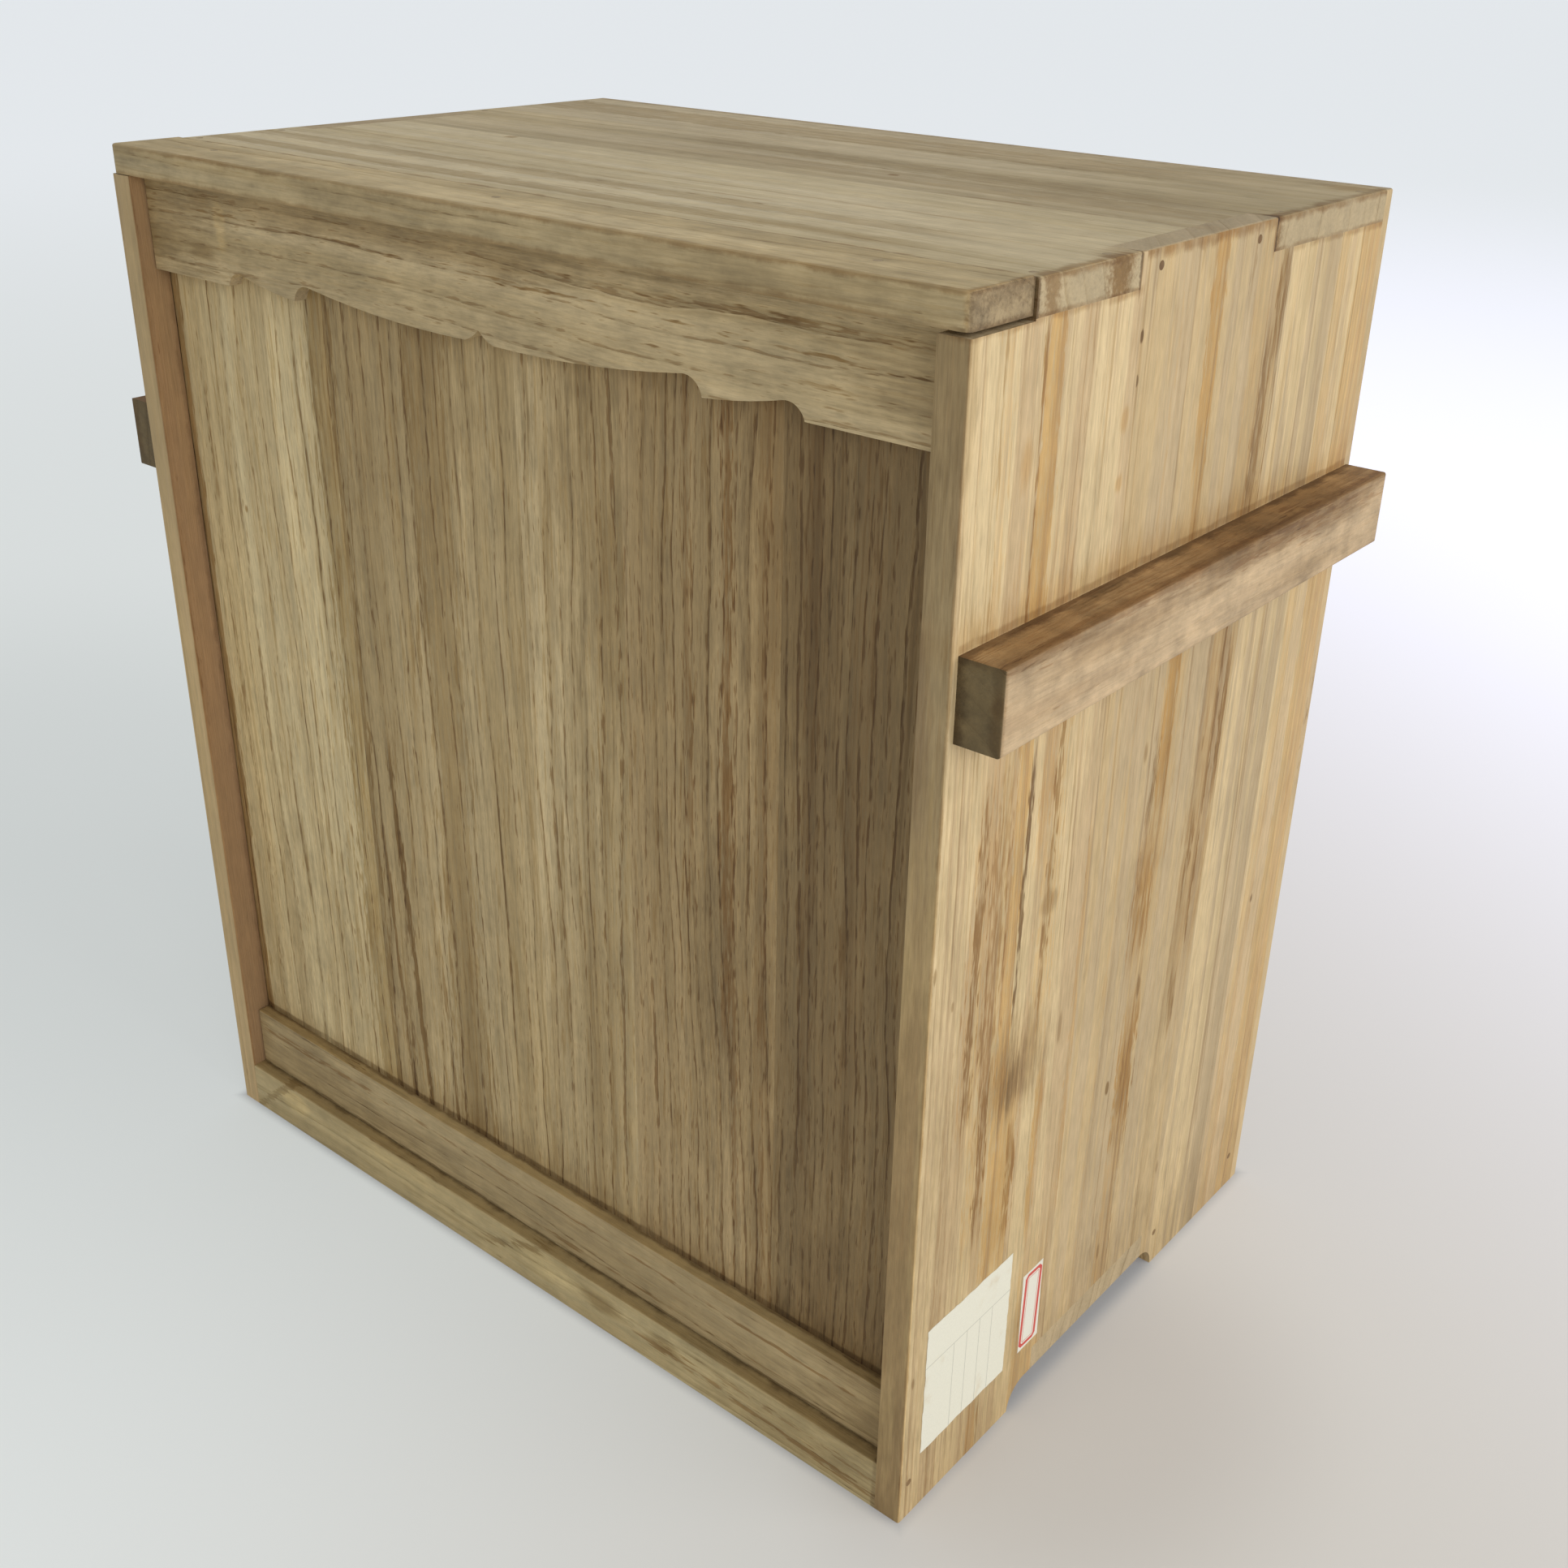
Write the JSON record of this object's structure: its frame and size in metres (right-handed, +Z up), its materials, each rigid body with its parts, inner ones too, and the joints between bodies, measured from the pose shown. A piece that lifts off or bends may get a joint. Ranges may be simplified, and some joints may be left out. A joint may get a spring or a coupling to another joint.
{
  "type": "wooden storage box",
  "caption": "Upright paulownia wood box on short feet, with a lift-out front lid, a cusped valance, finger-jointed corners and a handle bar on each side.",
  "frame": {"origin": "on the floor, at the centre of the bounding box's footprint", "axes": "+Z up; -Y out of the front, where the lid is; +X to the right as one faces the front"},
  "size_m": [0.394, 0.242, 0.4045],
  "materials": {
    "right_side_wood": "matte, unfinished paulownia, pale cream with brown streaks",
    "left_side_wood": "matte, unfinished paulownia",
    "top_wood": "matte, unfinished paulownia, greyed, with fine grain",
    "bottom_wood": "matte, unfinished paulownia",
    "back_wood": "matte, unfinished paulownia",
    "lid_wood": "matte, unfinished paulownia, open pores",
    "rail_wood": "matte, unfinished paulownia",
    "handle_wood": "matte, unfinished paulownia, soiled on top",
    "cap_wood": "matte, unfinished paulownia, worn at the edges",
    "valance_wood": "matte, unfinished paulownia, open pores",
    "batten_wood": "matte, unfinished paulownia",
    "peg_wood": "matte, darker wood, end grain",
    "cream_paper": "matte aged paper with plain ruled lines",
    "white_paper": "matte paper with a plain red border"
  },
  "bodies": {
    "case": {"back_pegs": "peg_wood", "back_plank_1": "back_wood", "back_plank_2": "back_wood", "back_plank_3": "back_wood", "back_plank_4": "back_wood", "bottom_plank_1": "bottom_wood", "bottom_plank_2": "bottom_wood", "bottom_plank_3": "bottom_wood", "front_rail": "rail_wood", "large_paper_label": "cream_paper", "left_handle": "handle_wood", "left_side_plank_1": "left_side_wood", "left_side_plank_2": "left_side_wood", "left_side_plank_3": "left_side_wood", "right_handle": "handle_wood", "right_side_plank_1": "right_side_wood", "right_side_plank_2": "right_side_wood", "right_side_plank_3": "right_side_wood", "right_side_plank_4": "right_side_wood", "side_pegs": "peg_wood", "small_paper_label": "white_paper", "top_pegs": "peg_wood", "top_plank_1": "top_wood", "top_plank_2": "top_wood", "top_plank_3": "top_wood"},
    "lid": {"lid_batten": "batten_wood", "lid_cap": "cap_wood", "lid_cap_pegs": "peg_wood", "lid_plank_1": "lid_wood", "lid_plank_2": "lid_wood", "lid_plank_3": "lid_wood", "lid_plank_4": "lid_wood", "lid_plank_5": "lid_wood", "lid_valance": "valance_wood"}
  },
  "joints": [
    {"name": "lid_slide", "type": "slide", "parent": "case", "child": "lid", "axis": [0, 0, 1], "range_m": [0, 0.373]}
  ]
}
